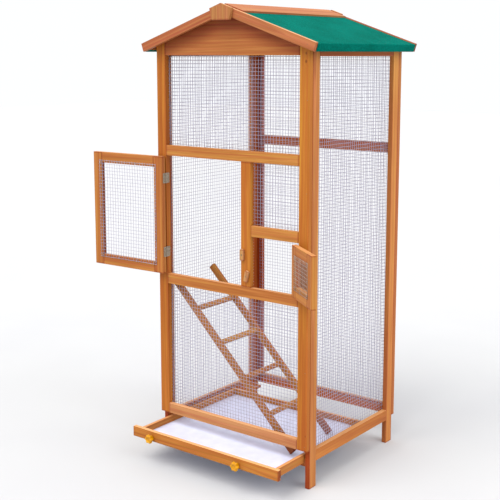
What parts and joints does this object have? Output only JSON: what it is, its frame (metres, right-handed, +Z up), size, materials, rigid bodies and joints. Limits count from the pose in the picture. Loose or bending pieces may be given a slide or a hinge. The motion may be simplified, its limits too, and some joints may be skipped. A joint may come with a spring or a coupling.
{
  "type": "wooden bird cage",
  "caption": "Tall wooden cage for pet birds: netted timber frame on legs, pitched felt roof, hinged doors with turn buttons, a leaning ladder and a pull-out tray.",
  "frame": {"origin": "on the floor, at the middle of the box round the whole cage as pictured, with its doors open and its tray drawn out", "axes": "+Z up along the legs, +X to the right along the front panel, +Y from the front panel to the rear panel"},
  "size_m": [1.0814, 0.827, 1.65],
  "materials": {
    "stained_wood": "satin orange-brown stain over visible grain",
    "trim_wood": "satin reddish-orange stain over visible grain",
    "pale_wood": "light satin stain over visible grain",
    "roof_felt": "matt mineral-surfaced bitumen felt",
    "net_wire": "galvanised welded wire",
    "hinge_steel": "zinc-plated pressed steel",
    "tray_floor": "matt white sheet",
    "knob": "satin moulded yellow-orange plastic"
  },
  "bodies": {
    "cage": {"left_front_leg": "stained_wood", "left_rear_leg": "stained_wood", "left_top_rail": "stained_wood", "left_bottom_rail": "stained_wood", "left_net": "net_wire", "right_front_leg": "stained_wood", "right_rear_leg": "stained_wood", "right_top_rail": "stained_wood", "right_bottom_rail": "stained_wood", "right_net": "net_wire", "front_left_stile": "stained_wood", "front_right_stile": "stained_wood", "front_gable": "stained_wood", "front_mid_rail": "stained_wood", "front_lower_rail": "stained_wood", "front_bottom_rail": "stained_wood", "front_small_rail": "stained_wood", "front_mullion": "stained_wood", "front_upper_net": "net_wire", "front_fixed_net": "net_wire", "front_lower_net": "net_wire", "rear_left_stile": "stained_wood", "rear_right_stile": "stained_wood", "rear_gable": "stained_wood", "rear_mid_rail": "stained_wood", "rear_bottom_rail": "stained_wood", "rear_net": "net_wire", "left_roof_board": "trim_wood", "right_roof_board": "trim_wood", "left_roof_felt": "roof_felt", "right_roof_felt": "roof_felt", "front_left_barge": "trim_wood", "front_right_barge": "trim_wood", "rear_left_barge": "trim_wood", "rear_right_barge": "trim_wood", "left_ridge_cap": "trim_wood", "right_ridge_cap": "trim_wood", "front_keystone": "trim_wood", "large_door_lower_hinge": "hinge_steel", "large_door_upper_hinge": "hinge_steel", "small_door_lower_hinge": "hinge_steel", "small_door_upper_hinge": "hinge_steel", "ladder": "pale_wood"},
    "large_door": {"large_door_frame": "stained_wood", "large_door_net": "net_wire", "large_door_lower_hinge_leaf": "hinge_steel", "large_door_upper_hinge_leaf": "hinge_steel"},
    "small_door": {"small_door_frame": "stained_wood", "small_door_net": "net_wire", "small_door_lower_hinge_leaf": "hinge_steel", "small_door_upper_hinge_leaf": "hinge_steel"},
    "large_door_button": {"large_door_button": "pale_wood"},
    "small_door_button": {"small_door_button": "pale_wood"},
    "tray": {"tray_front": "stained_wood", "tray_left_side": "stained_wood", "tray_right_side": "stained_wood", "tray_back": "stained_wood", "tray_floor": "tray_floor", "tray_left_knob": "knob", "tray_right_knob": "knob"}
  },
  "joints": [
    {"name": "large_door_swing", "type": "hinge", "parent": "cage", "child": "large_door", "pos_m": [-0.20028, -0.23405, 0.898], "axis": [0, 0, 1], "range_deg": [-2.5, 177.5]},
    {"name": "small_door_swing", "type": "hinge", "parent": "cage", "child": "small_door", "pos_m": [0.38462, -0.23405, 0.7695], "axis": [0, 0, 1], "range_deg": [-143.5, 36.5]},
    {"name": "large_door_button_turn", "type": "hinge", "parent": "cage", "child": "large_door_button", "pos_m": [0.15267, -0.23595, 0.793], "axis": [0, 1, 0], "continuous": true},
    {"name": "small_door_button_turn", "type": "hinge", "parent": "cage", "child": "small_door_button", "pos_m": [0.17144, -0.23595, 0.719], "axis": [0, 1, 0], "continuous": true},
    {"name": "tray_slide", "type": "slide", "parent": "cage", "child": "tray", "axis": [0, 1, 0], "range_m": [-0.12, 0.16]}
  ]
}
